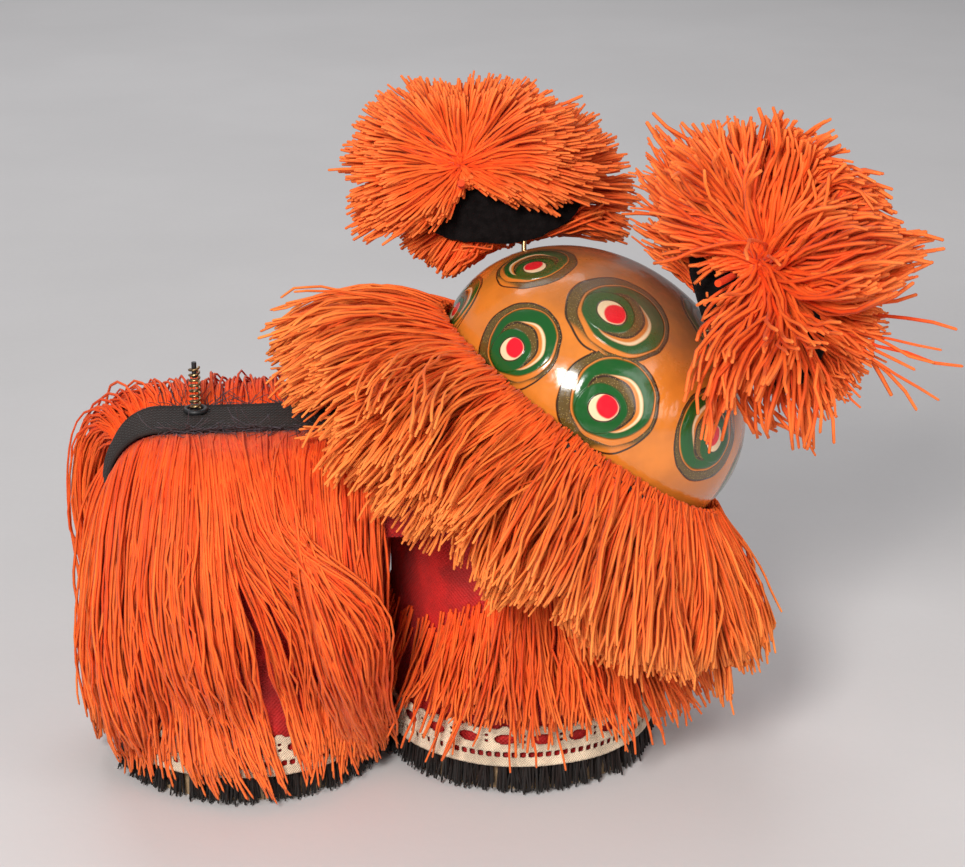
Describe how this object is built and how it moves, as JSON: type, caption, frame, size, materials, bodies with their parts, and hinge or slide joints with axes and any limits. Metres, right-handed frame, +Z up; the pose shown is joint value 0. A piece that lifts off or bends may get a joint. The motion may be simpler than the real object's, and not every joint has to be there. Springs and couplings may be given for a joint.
{
  "type": "fringed folk animal figure",
  "caption": "Squat folk-craft beast on drum legs with orange thread fringe, a ruff, a nodding and turning lacquered ball head and springy ears.",
  "frame": {"origin": "centre of the front foot's underside, on the surface that the figure stands on", "axes": "+X towards the head, +Y to the figure's left, +Z up"},
  "size_m": [0.1556, 0.0967, 0.1421],
  "materials": {
    "leg_core": "plain grey-brown card, hidden",
    "foot_disc": "raw",
    "crimson_cloth": "matte satin weave",
    "cream_lace": "cotton lace",
    "black_bristle": "stiff dull fibre",
    "stuffing": "cotton wadding, hidden",
    "black_tape": "ribbed woven tape",
    "orange_thread": "cotton thread",
    "mane_thread": "cotton thread",
    "lacquer": "painted and lacquered, gloss",
    "plain_wood": "raw",
    "brass_wire": "dull",
    "black_felt": "wool felt",
    "black_thread": "waxed thread"
  },
  "bodies": {
    "root": {"rear_core": "leg_core", "rear_foot_disc": "foot_disc", "rear_cover": "crimson_cloth", "rear_lace": "cream_lace", "rear_bristles": "black_bristle", "front_core": "leg_core", "front_foot_disc": "foot_disc", "front_cover": "crimson_cloth", "front_lace": "cream_lace", "front_bristles": "black_bristle", "back_pad": "stuffing", "back_cover": "crimson_cloth", "spine_tape": "black_tape", "rear_fringe_near": "orange_thread", "rear_fringe_far": "orange_thread", "front_fringe_near": "orange_thread", "front_fringe_far": "orange_thread", "neck_cup": "stuffing", "mane_band": "black_tape", "neck_post": "plain_wood", "nod_pin": "brass_wire", "nod_springs": "brass_wire", "mane_upper_threads": "mane_thread", "mane_lower_threads": "mane_thread", "tail_knot": "black_thread"},
    "neck": {"nod_yoke": "brass_wire", "spindle_cap": "brass_wire"},
    "head": {"head_hub": "plain_wood", "head_upper_shell": "lacquer", "head_lower_shell": "lacquer"},
    "tail": {"tail_spring": "brass_wire", "tail_stub": "black_thread"},
    "left_ear": {"left_ear_wire": "brass_wire", "left_ear_leaf": "black_felt", "left_ear_fringe": "orange_thread", "left_ear_pompon": "orange_thread", "left_ear_stitch": "black_thread"},
    "right_ear": {"right_ear_wire": "brass_wire", "right_ear_leaf": "black_felt", "right_ear_fringe": "orange_thread", "right_ear_pompon": "orange_thread", "right_ear_stitch": "black_thread"}
  },
  "joints": [
    {"name": "head_nod", "type": "hinge", "parent": "root", "child": "neck", "pos_m": [0.0142, 0, 0.0754], "axis": [-0.0872, 0.9962, 0], "range_deg": [-10, 10], "stiffness_Nm_per_rad": 0.35},
    {"name": "head_turn", "type": "hinge", "parent": "neck", "child": "head", "pos_m": [0.0142, 0, 0.0754], "axis": [0.5967, 0.0522, 0.8007], "range_deg": [-30, 30]},
    {"name": "left_ear_sway", "type": "hinge", "parent": "head", "child": "left_ear", "pos_m": [0.00161, 0.01134, 0.10144], "axis": [0.9962, -0.087, 0], "range_deg": [-12, 12], "stiffness_Nm_per_rad": 0.12},
    {"name": "right_ear_sway", "type": "hinge", "parent": "head", "child": "right_ear", "pos_m": [0.03523, -0.01018, 0.09045], "axis": [0.443, -0.3418, -0.8288], "range_deg": [-12, 12], "stiffness_Nm_per_rad": 0.2},
    {"name": "tail_sway", "type": "hinge", "parent": "root", "child": "tail", "pos_m": [-0.0646, 0.003, 0.0722], "axis": [0, 1, 0], "range_deg": [-15, 15], "stiffness_Nm_per_rad": 0.0006}
  ]
}
